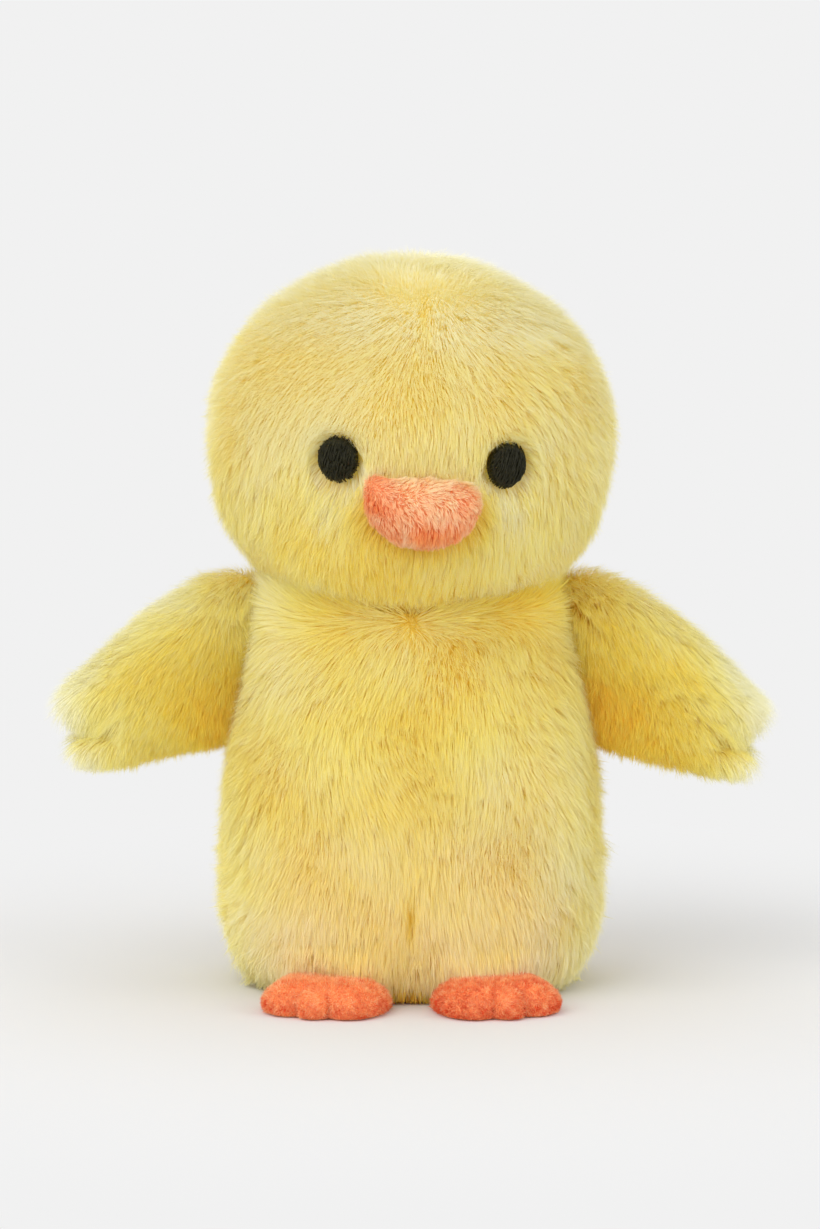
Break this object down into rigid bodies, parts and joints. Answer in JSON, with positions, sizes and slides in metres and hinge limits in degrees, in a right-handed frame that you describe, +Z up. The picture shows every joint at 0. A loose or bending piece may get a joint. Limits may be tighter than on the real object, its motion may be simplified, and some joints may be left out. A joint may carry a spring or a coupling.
{
  "type": "plush chick",
  "caption": "Standing plush chick with a round head, barrel body, spread wings, puffed beak and flat feet; the head, wings and feet flex at their seams.",
  "frame": {"origin": "middle of the flat base, on the surface that the toy stands on", "axes": "+Z up; the toy faces -Y; its own left side is +X"},
  "size_m": [0.1685, 0.0972, 0.1704],
  "materials": {
    "yellow_fur": "long soft pile",
    "beak_plush": "short pile",
    "foot_plush": "short pile",
    "eye_thread": "satin stitch",
    "fibre": "loose polyester fibre",
    "pouch_cloth": "plain weave",
    "seam_thread": "gathered stitching",
    "pellets": "loose plastic pellets"
  },
  "bodies": {
    "body": {"body_front_left": "yellow_fur", "body_front_right": "yellow_fur", "body_back_left": "yellow_fur", "body_back_right": "yellow_fur", "base_panel": "yellow_fur", "body_stuffing": "fibre", "pouch_top": "pouch_cloth", "pouch_bottom": "pouch_cloth", "pouch_pellets": "pellets", "wing_tab_left": "yellow_fur", "wing_tab_right": "yellow_fur"},
    "neck": {"neck_seam_ring": "seam_thread"},
    "head": {"head_front_left": "yellow_fur", "head_front_right": "yellow_fur", "head_back_left": "yellow_fur", "head_back_right": "yellow_fur", "head_stuffing": "fibre", "eye_left": "eye_thread", "eye_right": "eye_thread", "beak_upper": "beak_plush", "beak_lower": "beak_plush", "beak_stuffing": "fibre"},
    "wing_left": {"wing_front_left": "yellow_fur", "wing_back_left": "yellow_fur", "wing_stuffing_left": "fibre"},
    "wing_right": {"wing_front_right": "yellow_fur", "wing_back_right": "yellow_fur", "wing_stuffing_right": "fibre"},
    "foot_left": {"foot_upper_left": "foot_plush", "foot_sole_left": "foot_plush", "foot_padding_left": "fibre"},
    "foot_right": {"foot_upper_right": "foot_plush", "foot_sole_right": "foot_plush", "foot_padding_right": "fibre"}
  },
  "joints": [
    {"name": "head_turn", "type": "hinge", "parent": "body", "child": "neck", "pos_m": [0, 0, 0.12844], "axis": [0, 0, 1], "range_deg": [-25, 25], "stiffness_Nm_per_rad": 0.05},
    {"name": "head_nod", "type": "hinge", "parent": "neck", "child": "head", "pos_m": [0, 0, 0.12844], "axis": [0.9973, 0.0732, 0], "range_deg": [-12, 14], "stiffness_Nm_per_rad": 0.08},
    {"name": "wing_left_swing", "type": "hinge", "parent": "body", "child": "wing_left", "pos_m": [0.03992, 0, 0.0725], "axis": [0.2417, 0, -0.9704], "range_deg": [-45, 60], "stiffness_Nm_per_rad": 0.01},
    {"name": "wing_right_swing", "type": "hinge", "parent": "body", "child": "wing_right", "pos_m": [-0.03992, 0, 0.0725], "axis": [0.2417, 0, 0.9704], "range_deg": [-45, 60], "stiffness_Nm_per_rad": 0.01},
    {"name": "foot_left_fold", "type": "hinge", "parent": "body", "child": "foot_left", "pos_m": [0.01649, -0.02914, 0], "axis": [0.9572, 0.2893, 0], "range_deg": [0, 45], "stiffness_Nm_per_rad": 0.01},
    {"name": "foot_right_fold", "type": "hinge", "parent": "body", "child": "foot_right", "pos_m": [-0.01649, -0.02914, 0], "axis": [0.9572, -0.2893, 0], "range_deg": [0, 45], "stiffness_Nm_per_rad": 0.01}
  ]
}
